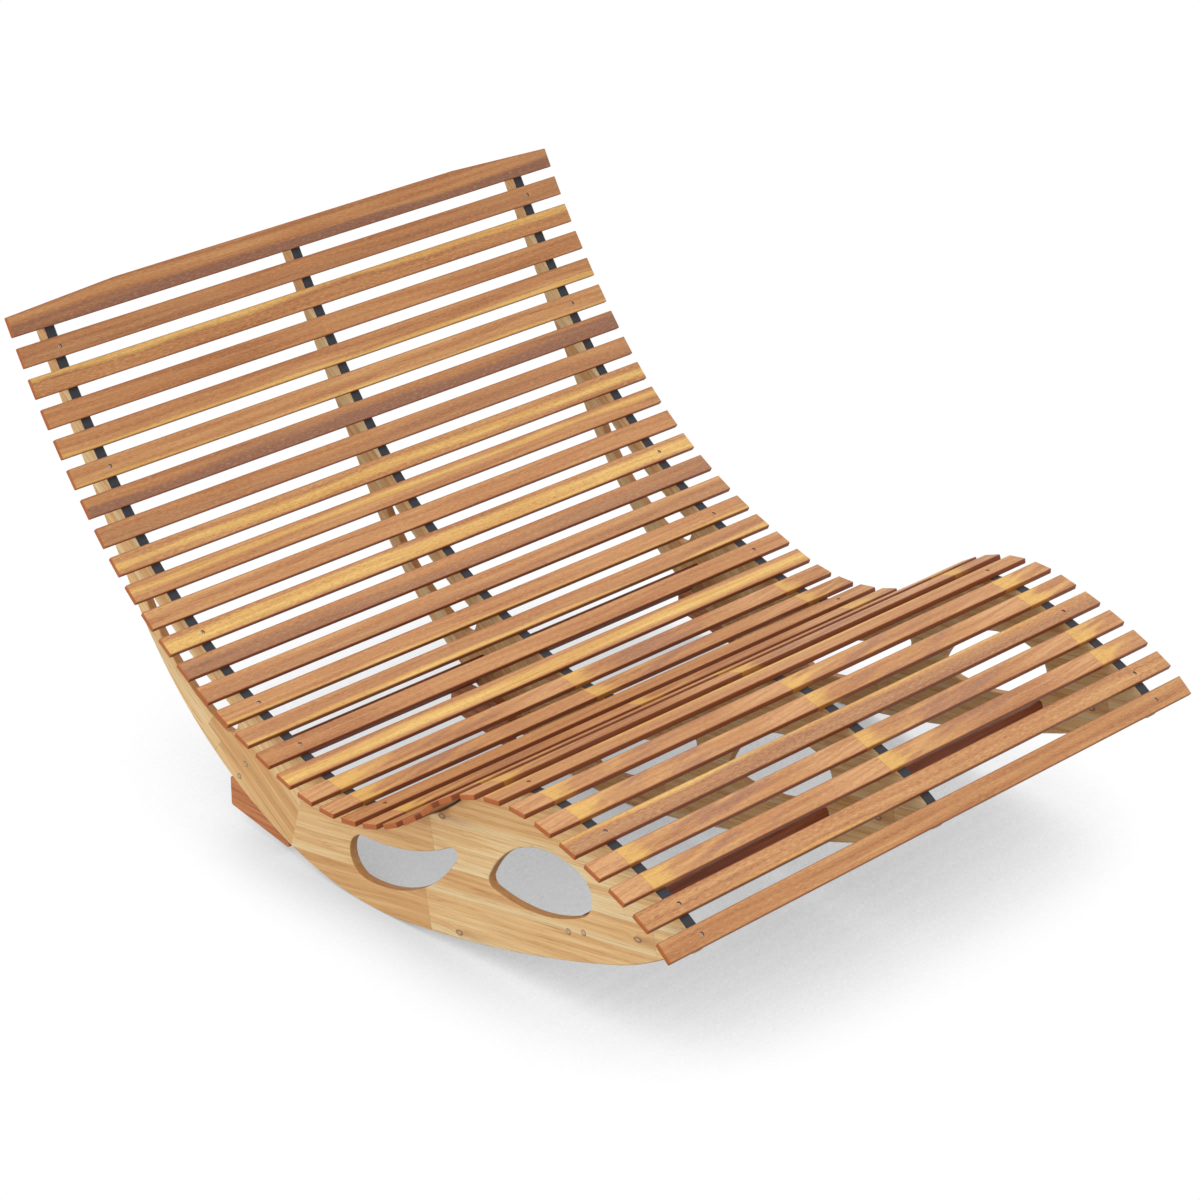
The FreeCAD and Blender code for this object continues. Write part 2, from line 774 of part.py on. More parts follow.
def dowel_axes(side):
    """Start and direction of each dowel, square to the joint of the two boards."""
    heading = math.atan2(joint_top[1] - joint_bottom[1], joint_top[0] - joint_bottom[0])
    axes = []
    for count in range(1, DOWEL_COUNT + 1):
        share = count / (DOWEL_COUNT + 1)
        middle = (joint_bottom[0] + (joint_top[0] - joint_bottom[0]) * share,
                  joint_bottom[1] + (joint_top[1] - joint_bottom[1]) * share)
        start = add(middle, across(heading), -size("dowel_length") / 2)
        axes.append((Vector(frame_x(side), *start), Vector(0, *across(heading))))
    return axes


def stop_screw_axes(side):
    """Start and direction of the screws that hold a stop to its frame."""
    face = STOP_FACES[side]
    x = frame_x(side) + face * (size("frame_thickness") / 2 + size("stop_thickness"))
    return [(Vector(x, *place), Vector(-face, 0, 0)) for place in stop_screw_places()]


def make_frame(side):
    """The two boards of one rocker frame."""
    bores = frame_bores(side)
    boards = {
        "back": (back_board_outline, {"slit": slit_outline()}),
        "seat": (seat_board_outline, {"crescent": crescent_outline(), "egg": egg_outline()}),
    }
    pieces = []
    for board, (outline, openings) in boards.items():
        label = "%s_%s_board" % (side, board)
        body = new_body(label + "_blank")
        sketch = new_sketch(body, "YZ_Plane", "outline")
        draw(sketch, outline)
        pad(body, sketch, "dims.frame_thickness")
        for name, segments in openings.items():
            cut_through(body, segments, name)
        round_edges(body, "dims.frame_edge_round", on_free_edge)
        body.Placement.Base = Vector(frame_x(side), 0, 0)
        doc.recompute()
        pieces.append(drilled(body, bores, label))
    return pieces


def runs_across(edge):
    """True for an edge that runs along the slats, from face to face of a board."""
    return abs(edge.tangentAt(edge.FirstParameter).x) > 0.5


def on_free_edge(edge):
    """True for the edges of a board's two faces, apart from those at the glued joint."""
    if runs_across(edge):
        return False
    heading = math.atan2(joint_top[1] - joint_bottom[1], joint_top[0] - joint_bottom[0])
    middle = edge.valueAt((edge.FirstParameter + edge.LastParameter) / 2)
    aside, up = across(heading)
    offset = (middle.y - joint_bottom[0]) * aside + (middle.z - joint_bottom[1]) * up
    return abs(offset) > size("frame_edge_round")


def make_stretcher(stretcher, bay):
    """One board across a bay, bored for bolts from its ends and barrel nuts from its hidden face."""
    label = "%s_%s_stretcher" % (bay, stretcher)
    place, tilt = STRETCHERS[stretcher]
    half_width, half_depth = size("stretcher_width") / 2, size("stretcher_thickness") / 2
    body = new_body(label + "_blank")
    sketch = new_sketch(body, "YZ_Plane", "section")
    corner = size("stretcher_edge_round")
    draw(sketch, rounded_box(-half_width, -half_depth, half_width, half_depth, corner))
    pad(body, sketch, "dims.frame_spacing - dims.frame_thickness")
    centre = BAYS[bay] * size("frame_spacing") / 2
    body.Placement = tilted(centre, place, tilt)
    doc.recompute()
    gap = size("bore_clearance")
    half_length = (size("frame_spacing") - size("frame_thickness")) / 2
    up = Vector(0, *across(tilt))
    bores = []
    for at in bolt_places(stretcher):
        for end in (-1, 1):
            mouth = Vector(centre + end * half_length, *at)
            inward = Vector(-end, 0, 0)
            bores.append(rod(mouth, inward, bolt_radius + gap, size("bolt_reach") + gap))
            nut_middle = mouth + inward * size("nut_place")
            bores.append(rod(nut_middle - up * half_depth, up, size("nut_diameter") / 2 + gap,
                             half_depth + size("nut_length") / 2 + gap))
    return [drilled(body, bores, label)]


def make_stop(side):
    """Wedge-shaped board beside a frame's rear arm."""
    label = side + "_rear_stop"
    body = new_body(label + "_blank")
    sketch = new_sketch(body, "YZ_Plane", "side")
    draw(sketch, polygon(stop_outline))
    pad(body, sketch, "dims.stop_thickness")
    round_edges(body, "dims.stop_corner_round", runs_across)
    offset = STOP_FACES[side] * (size("frame_thickness") + size("stop_thickness")) / 2
    body.Placement.Base = Vector(frame_x(side) + offset, 0, 0)
    doc.recompute()
    bores = []
    for start, direction in stop_screw_axes(side):
        bores += head_bore(start, direction, "stop_screw", 0)
    return [drilled(body, bores, label)]


def make_fasteners():
    gap_x = size("frame_thickness") / 2
    slat_screws, stop_screws, bolts, caps, studs, nuts, dowels = [], [], [], [], [], [], []
    for side in ("left", "right"):
        outward = Vector(SIDES[side], 0, 0)
        for number in SCREWED_SLATS:
            start, direction = slat_screw_heads(number, side)
            head = start + direction * size("slat_screw_sink")
            slat_screws.append(axis_placement(head, direction * -1))
        for stretcher in STRETCHERS:
            for place in bolt_places(stretcher):
                face = Vector(frame_x(side), *place) + outward * gap_x
                bolts.append(axis_placement(face - outward * recess_depth, outward))
                caps.append(axis_placement(face - outward * size("cap_thickness"), outward))
    for side in SIDES:
        for start, direction in dowel_axes(side):
            dowels.append(axis_placement(start, direction))
        for start, direction in stop_screw_axes(side):
            stop_screws.append(axis_placement(start, direction * -1))
    for stretcher, (_, tilt) in STRETCHERS.items():
        for place in bolt_places(stretcher):
            studs.append(axis_placement(Vector(-gap_x - size("bolt_reach"), *place), Vector(1, 0, 0)))
            for bay in BAYS.values():
                inner = gap_x + size("nut_place")
                outer = size("frame_spacing") - inner
                nuts += [tilted(bay * x, place, tilt) for x in (inner, outer)]
    return [
        group("slat_screws", slat_screw, slat_screws),
        group("stop_screws", stop_screw, stop_screws),
        group("stretcher_bolts", bolt, bolts),
        group("bolt_caps", cap, caps),
        group("middle_studs", stud, studs),
        group("barrel_nuts", nut, nuts),
        group("joint_dowels", dowel, dowels),
    ]


pieces = []
for number in range(1, SLAT_COUNT + 1):
    pieces += make_slat(number)
for side in SIDES:
    pieces += make_strap(side) + make_frame(side) + make_stop(side)
for bay in BAYS:
    for stretcher in STRETCHERS:
        pieces += make_stretcher(stretcher, bay)
pieces += make_fasteners()
doc.recompute()

for item in doc.Objects:
    if "Invalid" in item.State or "Error" in item.State:
        raise RuntimeError("failed: " + item.Label)
for piece in pieces:
    if piece.Shape.isNull() or not piece.Shape.isValid():
        raise RuntimeError("bad shape: " + piece.Label)

os.makedirs("parts", exist_ok=True)
for piece in pieces:
    piece.Shape.exportStep(os.path.join("parts", piece.Label + ".step"))
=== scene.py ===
# %% [markdown]
# This lesson dresses a double rocking lounger: 35 wooden slats on three curved rocker frames.
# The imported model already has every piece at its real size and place, in metres, so no piece is
# fitted here. Its pieces are read first, and each step then gives some of them their final
# surface. Pieces that need more than the model holds are built again in mesh code.

# %% Load the frame
import math

import bmesh
import bpy
import numpy as np
from mathutils import Matrix, Vector


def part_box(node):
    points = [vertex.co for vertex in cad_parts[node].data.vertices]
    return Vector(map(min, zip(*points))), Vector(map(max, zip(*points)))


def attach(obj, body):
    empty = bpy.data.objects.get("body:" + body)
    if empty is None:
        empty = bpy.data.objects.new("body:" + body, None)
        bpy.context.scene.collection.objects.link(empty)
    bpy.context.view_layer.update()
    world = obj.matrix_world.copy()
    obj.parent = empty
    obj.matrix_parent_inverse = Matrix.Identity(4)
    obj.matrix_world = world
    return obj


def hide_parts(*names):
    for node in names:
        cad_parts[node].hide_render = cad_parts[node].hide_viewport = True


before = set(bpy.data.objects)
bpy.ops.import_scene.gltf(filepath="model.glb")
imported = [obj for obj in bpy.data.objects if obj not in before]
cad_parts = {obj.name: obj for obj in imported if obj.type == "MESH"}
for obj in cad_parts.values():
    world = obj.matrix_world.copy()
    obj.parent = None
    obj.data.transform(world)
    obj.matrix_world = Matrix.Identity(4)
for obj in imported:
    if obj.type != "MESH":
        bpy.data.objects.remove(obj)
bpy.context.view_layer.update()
print("pieces in the model:", len(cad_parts))

# %% [markdown]
# All the wood here is drawn by shader nodes. Linking nodes by hand is hard to read, so one small
# class wraps a socket and lets Python's own operators add the Math nodes: 1 - mask is a node too.
# Any other node comes from the method called node. Colours never go through Math nodes, because
# those turn them grey: they go through Mix.


# %% Sockets as numbers
class Wire:
    """A socket in one material, with Python's operators standing for Math nodes."""

    def __init__(self, tree, socket=None):
        self.tree = tree
        self.socket = socket

    def node(self, kind, settings=None, inputs=None, output=0):
        """Adds a node, sets its settings, fills or links its sockets and returns one output."""
        made = self.tree.nodes.new(kind)
        for name, value in (settings or {}).items():
            if name == "stops":
                fill_ramp(made.color_ramp, value)
            else:
                setattr(made, name, value)
        for name, value in (inputs or {}).items():
            if isinstance(value, Wire):
                self.tree.links.new(value.socket, made.inputs[name])
            else:
                made.inputs[name].default_value = value
        return Wire(self.tree, made.outputs[output])

    def math(self, operation, first, second=0.0):
        return self.node("ShaderNodeMath", {"operation": operation}, {0: first, 1: second})

    def __add__(self, other):
        return self.math("ADD", self, other)

    def __radd__(self, other):
        return self.math("ADD", other, self)

    def __sub__(self, other):
        return self.math("SUBTRACT", self, other)

    def __rsub__(self, other):
        return self.math("SUBTRACT", other, self)

    def __mul__(self, other):
        return self.math("MULTIPLY", self, other)

    def __rmul__(self, other):
        return self.math("MULTIPLY", other, self)

    def __truediv__(self, other):
        return self.math("DIVIDE", self, other)

    def __mod__(self, other):
        return self.math("FLOORED_MODULO", self, other)

    def __gt__(self, other):
        return self.math("GREATER_THAN", self, other)

    def __abs__(self):
        return self.math("ABSOLUTE", self)

    def floor(self):
        return self.math("FLOOR", self)

    def root(self):
        return self.math("SQRT", self)

    def between(self, low, high):
        """Rises softly from 0 at low to 1 at high, or falls where low is the larger."""
        return self.node("ShaderNodeMapRange", {"interpolation_type": "SMOOTHSTEP"},
                         {"Value": self, "From Min": low, "From Max": high})

    def parts(self):
        """The three numbers of a vector."""
        split = self.node("ShaderNodeSeparateXYZ", None, {0: self})
        return [Wire(self.tree, socket) for socket in split.socket.node.outputs]

    def mix(self, factor, first, second):
        """Colour between two colours."""
        return self.node("ShaderNodeMix", {"data_type": "RGBA"}, {0: factor, 6: first, 7: second}, 2)


def fill_ramp(ramp, stops):
    """Gives a colour ramp its (place, colour) stops."""
    while len(ramp.elements) < len(stops):
        ramp.elements.new(1.0)
    for element, (place, colour) in zip(ramp.elements, stops):
        element.position = place
        element.color = colour


def srgb(red, green, blue):
    """A colour as a screen shows it, from 0 to 255, in the linear values that shaders take."""
    linear = []
    for value in (red / 255, green / 255, blue / 255):
        linear.append(value / 12.92 if value <= 0.04045 else ((value + 0.055) / 1.055) ** 2.4)
    return (*linear, 1.0)


def new_finish(name, roughness=0.5, specular=0.35):
    """A material, the wire that adds nodes to it, and its main shader."""
    material = bpy.data.materials.new(name)
    material.use_nodes = True
    shader = material.node_tree.nodes["Principled BSDF"]
    shader.inputs["Roughness"].default_value = roughness
    shader.inputs["Specular IOR Level"].default_value = specular
    return material, Wire(material.node_tree), shader


def feed(shader, name, wire):
    wire.tree.links.new(wire.socket, shader.inputs[name])


def relief(shader, height, distance):
    """Small unevenness: a height from 0 to 1 that stands for a distance in metres."""
    bump = height.node("ShaderNodeBump", None, {"Height": height, "Distance": distance, "Strength": 1.0})
    feed(shader, "Normal", bump)


# %% [markdown]
# Wood grain is noise drawn out along the trunk. A spot of noise is stretched to between twenty and a
# hundred times its width, and three such layers make a board: broad bands of colour, fine lines and
# pores. On a slat the place along, across and into the board is an attribute of the mesh, in metres,
# so that the grain keeps its scale and turns into end grain by itself on the sawn ends.

# %% Streaks along the grain
GRAIN_RELIEF = 0.00012


def streaks(along, across, deep, length, width, detail=2.0):
    """Noise from 0 to 1 in spots of about a length by a width."""
    place = along.node("ShaderNodeCombineXYZ", None,
                       {0: along / length, 1: across / width, 2: deep / width})
    return along.node("ShaderNodeTexNoise", None,
                      {"Vector": place, "Scale": 1.0, "Detail": detail, "Roughness": 0.55})


def wander(along, length):
    """Noise from -0.5 to 0.5 that changes only along the grain."""
    noise = along.node("ShaderNodeTexNoise", {"noise_dimensions": "1D"},
                       {"W": along / length, "Scale": 1.0, "Detail": 1.0})
    return noise - 0.5


def attribute(wire, name, output="Vector"):
    return wire.node("ShaderNodeAttribute", {"attribute_name": name}, None, output)


# %% [markdown]
# The slats are oiled acacia. The heartwood is orange-brown, some boards have purple-brown
# heart, and many have a band of yellow sapwood along one edge. Others are butted from short pieces,
# each of which starts yellow. The sawn ends took more oil and are redder. The arrises and the long
# side faces are redder from the oil and darker from painted shade. One material serves all slats:
# what differs from board to board comes from attributes, so each slat stays its own mesh with its
# own look.

# %% Yellow butt ends
FLAME_START = -0.586
FLAME_PERIOD = 0.5545


def butt_ends(wire, colour, grain, seed, flamed):
    """Draws the butts of short boards. Returns the colour and how yellow each place is."""
    u, v, w = grain
    since = (u - FLAME_START) % FLAME_PERIOD
    slant = streaks(u + v * 1.2, v - u * 0.16, w + seed, 0.16, 0.016, 1.0)
    fade = since.between(0.095, 0.0) + (slant - 0.5) * 1.6
    flame = since.between(0.0, 0.003) * fade.between(0.2, 0.9) * flamed
    glow = since.between(0.30, 0.05) * slant.between(0.50, 0.66) * flamed
    dusk = since.between(0.06, 0.16) * since.between(0.44, 0.30) * slant.between(0.52, 0.36) * flamed
    plain = since.between(0.36, 0.50) * flamed
    stripes = streaks(u, v - u * 0.10, w + seed, 0.25, 0.006, 1.0).between(0.40, 0.60)
    striped = wire.mix(stripes, srgb(194, 135, 90), srgb(219, 167, 116))
    colour = wire.mix(plain * 0.7, colour, striped)
    colour = wire.mix(glow * 0.5, colour, srgb(226, 178, 110))
    colour = wire.mix(flame * 0.75, colour, srgb(232, 185, 98))
    colour = wire.mix(dusk * 0.7, colour, srgb(158, 108, 86))
    return colour, flame


# %% Oiled acacia
HALF_SLAT = 0.01875


def oiled_acacia():
    material, wire, shader = new_finish("oiled_acacia", 0.5, 0.3)
    u, v, w = attribute(wire, "grain").parts()
    seed, tone, plum = attribute(wire, "board").parts()
    sap_place, sap_width, flamed = attribute(wire, "sapwood").parts()
    rim = attribute(wire, "rim", "Fac")
    end = attribute(wire, "end", "Fac")
    speckle = attribute(wire, "speckle", "Fac")

    along = u + seed * 7.3
    bent = v + wander(along, 0.5) * 0.016
    figure = streaks(along, bent, w, 0.42, 0.0105, 3.0)
    broad = streaks(along + 3.1, bent, w, 0.75, 0.022, 1.0)
    lines = streaks(along, bent, w, 0.15, 0.0013, 2.0)
    pores = streaks(along, bent, w, 0.016, 0.0007, 1.0).between(0.60, 0.72)

    heart = wire.node("ShaderNodeValToRGB", {"stops": [
        (0.28, srgb(164, 104, 62)),
        (0.47, srgb(188, 128, 80)),
        (0.60, srgb(198, 142, 91)),
        (0.76, srgb(213, 162, 106)),
    ]}, {0: figure + tone * 0.12})
    low_half = (broad + (figure - 0.5) * 0.6 - bent / HALF_SLAT * 0.3).between(0.30, 0.58)
    colour = wire.mix(plum * low_half, heart, srgb(138, 94, 76))
    veins = abs(figure - 0.43).between(0.016, 0.0) * broad.between(0.48, 0.62)
    colour = wire.mix(veins * 0.55, colour, srgb(116, 70, 60))

    edge = abs(bent / HALF_SLAT - sap_place) + (figure - 0.5) * 0.9 + wander(along, 0.23) * 0.35
    sap_mask = (edge - sap_width).between(0.16, -0.2)
    sap = wire.mix(figure.between(0.35, 0.7), srgb(216, 164, 90), srgb(238, 198, 116))
    colour = wire.mix(sap_mask, colour, sap)
    colour, flame = butt_ends(wire, colour, (u, v, w), seed, flamed)

    flecks = streaks(along, bent, w, 0.012, 0.0011, 1.0)
    colour = wire.mix(flecks.between(0.50, 0.68) * (0.26 + speckle * 0.16), colour, srgb(232, 186, 122))
    colour = wire.mix(flecks.between(0.48, 0.32) * (0.26 + speckle * 0.16), colour, srgb(140, 84, 50))
    colour = wire.mix(lines.between(0.54, 0.70) * 0.34, colour, srgb(146, 88, 50))
    colour = wire.mix(pores * 0.40, colour, srgb(128, 78, 44))
    # Painted shade, partly real: the band beside each arris and the long side faces turn redder from the
    # oil and darker as painted shade, and so do the walls of the screw holes.
    colour = wire.mix(rim.between(0.0, 0.5) * 0.45, colour, srgb(156, 82, 38))
    flank_oil_and_shade = wire.mix(flame, srgb(120, 54, 25), srgb(172, 104, 34))
    colour = wire.mix(rim.between(0.5, 1.0) * 0.8, colour, flank_oil_and_shade)
    end_colour = wire.mix(lines, srgb(204, 116, 60), srgb(162, 85, 42))
    colour = wire.mix(end * 0.85, colour, end_colour)
    feed(shader, "Base Color", colour)
    feed(shader, "Roughness", 0.44 + lines * 0.16)
    relief(shader, lines * 0.6 - pores, GRAIN_RELIEF)
    return material


slat_finish = oiled_acacia()
print("slat finish nodes:", len(slat_finish.node_tree.nodes))

# %% [markdown]
# A slat's place is read from the model: the vertices at its +X end are its section, whose long
# direction runs across the slat. A board is then built round those axes as rings of points along
# its length, so its arrises and its ends are truly round and each point knows how near it is to an
# edge, which sets how much painted shade it takes there. Extra points beside the arris hold that
# dark rim of painted shade to a narrow line.

# %% Read a slat from the model
SAME_PLANE = 1e-5


def node_points(node):
    return np.array([vertex.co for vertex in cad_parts[node].data.vertices])


def slat_axes(node):
    """Matrix from slat to room: X along it, Y across it to the head, Z out of its top face."""
    points = node_points(node)
    at_end = points[:, 0] > points[:, 0].max() - SAME_PLANE
    section = np.unique(points[at_end][:, 1:].round(6), axis=0)
    middle = (section.min(axis=0) + section.max(axis=0)) / 2
    values, directions = np.linalg.eigh(np.cov((section - middle).T))
    across = directions[:, values.argmax()]
    across = across * np.sign(across[0])
    out = np.array([-across[1], across[0]])
    middle = middle + out * ((section - middle) @ out).max()
    rows = [(1, 0, 0, 0), (0, across[0], out[0], middle[0]), (0, across[1], out[1], middle[1])]
    return Matrix((*rows, (0, 0, 0, 1)))


def local_extent(node, axes):
    """Lowest and highest corner of a node along its own axes."""
    turn = np.array(axes.inverted())
    local = node_points(node) @ turn[:3, :3].T + turn[:3, 3]
    return local.min(axis=0), local.max(axis=0)


print("points of the first slat:", len(node_points("slat_01")))

# %% Rings of a board
ARRIS = 0.0015
# Painted shade that the arris takes where its curve starts; it rises to full on the side faces.
ARRIS_SHADED_RIM = 0.4
END_ROUND = 0.0012
RIM_BAND = 0.0016
CORNER_STEPS = 5
END_STEPS = 3
STATION_GAP = 0.05
HOLE_PATCH = 0.007


def section_ring(low, high, bottom, inset):
    """(across, out, rim) points round a board's section, drawn in by an inset; rim is the painted shade
    at the arrises and sides.
    """
    corner = ARRIS - inset / 2
    ring = []
    for quarter, (side, face) in enumerate(((1, 1), (1, -1), (-1, -1), (-1, 1))):
        across = (high if side > 0 else low) - side * (inset + corner)
        out = (0.0 if face > 0 else bottom) - face * (inset + corner)
        from_face = quarter in (0, 2)
        arc = []
        for step in range(CORNER_STEPS + 1):
            share = step / CORNER_STEPS
            angle = math.pi / 2 * (1 - quarter - share)
            rim = ARRIS_SHADED_RIM + (1 - ARRIS_SHADED_RIM) * (share if from_face else 1 - share)
            arc.append((across + corner * math.cos(angle), out + corner * math.sin(angle), rim))
        band = [(across - side * RIM_BAND, out + face * corner, 0.0)]
        ring += band + arc if from_face else arc + band
    return ring


def board_stations(length, holes, shoulders):
    """(place, inset, end) of each ring along a board; end is 1 on the sawn ends."""
    half = length / 2
    rounding = []
    for step in range(END_STEPS + 1):
        angle = math.pi / 2 * step / END_STEPS
        drawn_in = END_ROUND * (1 - math.sin(angle))
        rounding.append((END_ROUND * (1 - math.cos(angle)) - half, drawn_in, 1 - step / END_STEPS))
    places = set(np.arange(STATION_GAP - half, half - STATION_GAP / 2, STATION_GAP)) | set(shoulders)
    for hole in holes:
        places = {place for place in places if abs(place - hole) > 2 * HOLE_PATCH}
        places |= {hole - HOLE_PATCH, hole + HOLE_PATCH}
    middle = [(place, 0.0, 0.0) for place in sorted(places)]
    return rounding + middle + [(-place, inset, end) for place, inset, end in reversed(rounding)]


# %% A whole board
HEAD_TAPER = 0.24
# Radius, depth and shaded rim of each ring of a countersunk hole; the shaded rim paints its walls dark
# as shade.
HOLE_RINGS = ((0.0039, 0.0, 0.0), (0.0037, -0.0003, 1.0), (0.0024, -0.0042, 1.0))
HOLE_STEPS = 32


def new_mesh(name, points, faces, crease=40):
    """A closed mesh that faces outward, smooth apart from edges sharper than a crease."""
    mesh = bpy.data.meshes.new(name)
    mesh.from_pydata([tuple(point) for point in points], [], faces)
    shell = bmesh.new()
    shell.from_mesh(mesh)
    bmesh.ops.recalc_face_normals(shell, faces=shell.faces)
    shell.to_mesh(mesh)
    shell.free()
    mesh.shade_smooth()
    mesh.set_sharp_from_angle(angle=math.radians(crease))
    return mesh


def mark(mesh, name, values):
    """Keeps a number or a vector for each point of a mesh, for the shader to read."""
    values = np.asarray(values, np.float32)
    kind, field = ("FLOAT_VECTOR", "vector") if values.ndim == 2 else ("FLOAT", "value")
    mesh.attributes.new(name, kind, "POINT").data.foreach_set(field, values.ravel())


def sunk_hole(points, faces, corners, place):
    """Fills the patch between four corners with a countersunk hole of (x, y, z, rim, end) points, its
    walls painted dark as shade.
    """
    first = len(points)
    for radius, depth, rim in HOLE_RINGS:
        for step in range(HOLE_STEPS):
            angle = math.tau * (step + 0.5) / HOLE_STEPS
            points.append((place + radius * math.cos(angle), radius * math.sin(angle), depth, rim, 0.0))
    quarter = HOLE_STEPS // 4
    for step in range(HOLE_STEPS):
        after = (step + 1) % HOLE_STEPS
        corner = corners[step // quarter]
        faces.append((corner, first + after, first + step))
        if after % quarter == 0:
            faces.append((corner, corners[(step // quarter + 1) % 4], first + after))
        for ring in range(first, first + (len(HOLE_RINGS) - 1) * HOLE_STEPS, HOLE_STEPS):
            below = ring + HOLE_STEPS
            faces.append((ring + step, ring + after, below + after, below + step))
    floor = first + (len(HOLE_RINGS) - 1) * HOLE_STEPS
    faces.append(tuple(range(floor, floor + HOLE_STEPS)))


def board_mesh(name, length, low, high, bottom, rise=0.0, holes=()):
    """A board along X with round arrises. It may be wider by a rise between its two tapered ends."""
    points, faces = [], []
    shoulder = length / 2 - HEAD_TAPER
    stations = board_stations(length, holes, (-shoulder, shoulder) if rise > ARRIS else ())
    for place, inset, end in stations:
        wider = rise * min(1.0, (length / 2 - abs(place)) / HEAD_TAPER)
        for across, out, rim in section_ring(low, high + wider, bottom, inset):
            points.append((place, across, out, rim, end))
    count = len(points) // len(stations)
    for station in range(len(stations) - 1):
        hole = next((x for x in holes if abs(stations[station][0] + HOLE_PATCH - x) < 1e-6), None)
        for step in range(count):
            after = (step + 1) % count
            this, that = station * count, (station + 1) * count
            on_top = step == count - 1
            if hole is not None and on_top:
                corners = (that + after, this + after, this + step, that + step)
                sunk_hole(points, faces, corners, hole)
            else:
                faces.append((this + step, this + after, that + after, that + step))
    faces.append(tuple(range(count)))
    faces.append(tuple(range(len(stations) * count - count, len(stations) * count)))
    points = np.array(points)
    mesh = new_mesh(name, points[:, :3], faces)
    mark(mesh, "grain", points[:, :3])
    mark(mesh, "rim", points[:, 3])
    mark(mesh, "end", points[:, 4])
    return mesh


# %% [markdown]
# Every slat differs, so a few short tables say how. Most boards are plain heartwood of a lighter or
# darker tone. The tables name those with purple-brown heart, with a band of sapwood (its place across
# the slat, from -1 at the foot side to 1 at the head side, and its half width), with flames, where
# short boards are butted and each starts yellow, or with short speckled grain. A seed from the slat's
# number moves the grain, so no two are alike.

# %% What differs from slat to slat
SLAT_COUNT = 35
SCREWED_SLATS = (2, 6, 12, 15, 17, 21, 28, 31, 34, 35)
TONES = {2: -0.3, 3: -0.3, 4: -0.2, 6: 0.6, 8: 0.2, 10: 0.3, 11: 0.4, 13: 0.3, 14: 0.4, 15: 0.3,
         16: 0.3, 21: -0.1, 22: -0.6, 23: -0.1, 24: -0.2, 25: -0.1, 26: 0.0, 27: -0.5, 28: 0.3,
         29: 0.2, 30: 0.2, 31: 0.3, 32: 0.2, 33: 0.2, 34: 0.4, 35: 0.1}
PLUM_HEART = {1: 0.95, 2: 0.25, 7: 0.9, 8: 0.3, 13: 0.6, 14: 0.3, 16: 0.2, 24: 0.4, 31: 0.45}
SAPWOOD = {3: (0.95, 0.5), 5: (-1.0, 0.5), 6: (-1.05, 0.35), 9: (-0.1, 0.4), 10: (0.3, 0.25),
           12: (-0.2, 0.7), 15: (-1.05, 0.3), 16: (-0.95, 0.4), 18: (-0.1, 0.6),
           28: (0.95, 0.3), 31: (0.95, 0.3), 34: (-1.0, 0.05)}
FLAMED_SLATS = (19, 20, 22, 26, 27, 29, 30, 32, 33)
SPECKLED_SLATS = (3, 9, 12, 31, 34)
NO_SAPWOOD = (0.0, -2.0)
GOLDEN = 0.618034
print("slats with sapwood:", len(SAPWOOD), "with yellow butt ends:", len(FLAMED_SLATS))


# %% Add a finished piece
def add_piece(name, mesh, finish, slot, *nodes):
    """Puts a finished mesh in the scene, riding on the lounger in place of some model pieces."""
    piece = bpy.data.objects.new(name, mesh)
    bpy.context.scene.collection.objects.link(piece)
    mesh.materials.append(finish)
    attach(piece, "root")
    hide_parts(*nodes)


def middle_x(node):
    low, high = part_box(node)
    return (low.x + high.x) / 2


# %% The 35 slats
screw_places = (middle_x("left_seat_board"), middle_x("right_seat_board"))
axes_of = {}
for number in range(1, SLAT_COUNT + 1):
    node = "slat_%02d" % number
    axes_of[number] = slat_axes(node)
    low, high = local_extent(node, axes_of[number])
    rise = high[1] + low[1]
    holes = screw_places if number in SCREWED_SLATS else ()
    mesh = board_mesh("board_%02d" % number, high[0] - low[0], low[1], -low[1], low[2], rise, holes)
    count = len(mesh.vertices)
    sapwood = (*SAPWOOD.get(number, NO_SAPWOOD), float(number in FLAMED_SLATS))
    board = (number * GOLDEN % 1, TONES.get(number, 0.0), PLUM_HEART.get(number, 0.0))
    mark(mesh, "board", np.tile(board, (count, 1)))
    mark(mesh, "sapwood", np.tile(sapwood, (count, 1)))
    mark(mesh, "speckle", np.full(count, float(number in SPECKLED_SLATS)))
    mesh.transform(axes_of[number])
    add_piece("slat_board_%02d" % number, mesh, slat_finish, "slat_wood", node)
slat_thickness = -low[2]
print("slats:", SLAT_COUNT, "width in mm:", round(-2000 * low[1], 1))

# %% [markdown]
# The frames are edge-glued panels: staves of pale acacia in rows, butted end to end, whose tone
# changes from stave to stave. The model's boards have the right shape, so they stay and only get a
# material. It works in the plane of the frame: a row is found by a remainder across the grain, a
# stave by a step along it, and each stave's tone and cream sapwood follow from those two numbers.

# %% Rows, staves and knots
ROW_HEIGHTS = (0.077, 0.051, 0.0835)
TILE_HEIGHT = sum(ROW_HEIGHTS)
STAVE_LENGTH = 0.62
# A place where two staves meet in each row, and the tones of the row's staves, which alternate.
BUTT_PLACES = (-0.162, -0.10, -0.202)
STAVE_TONES = ((0.12, 0.45), (0.62, 0.30), (0.42, 0.72))
# Place of each knot along the grain and up from the first row.
KNOTS = ((-0.235, 0.0107), (-0.6805, 0.0999))
KNOT_STRETCH = 0.6


def chosen(masks, values):
    """The value that belongs to the one mask that is 1."""
    total = masks[0] * values[0]
    for mask, value in zip(masks[1:], values[1:]):
        total = total + mask * value
    return total


def rows(height):
    """Masks of the three rows of a tile, and the height within the row."""
    above_first = height > ROW_HEIGHTS[0]
    above_second = height > ROW_HEIGHTS[0] + ROW_HEIGHTS[1]
    masks = (1 - above_first, above_first - above_second, above_second)
    return masks, height - above_first * ROW_HEIGHTS[0] - above_second * ROW_HEIGHTS[1]


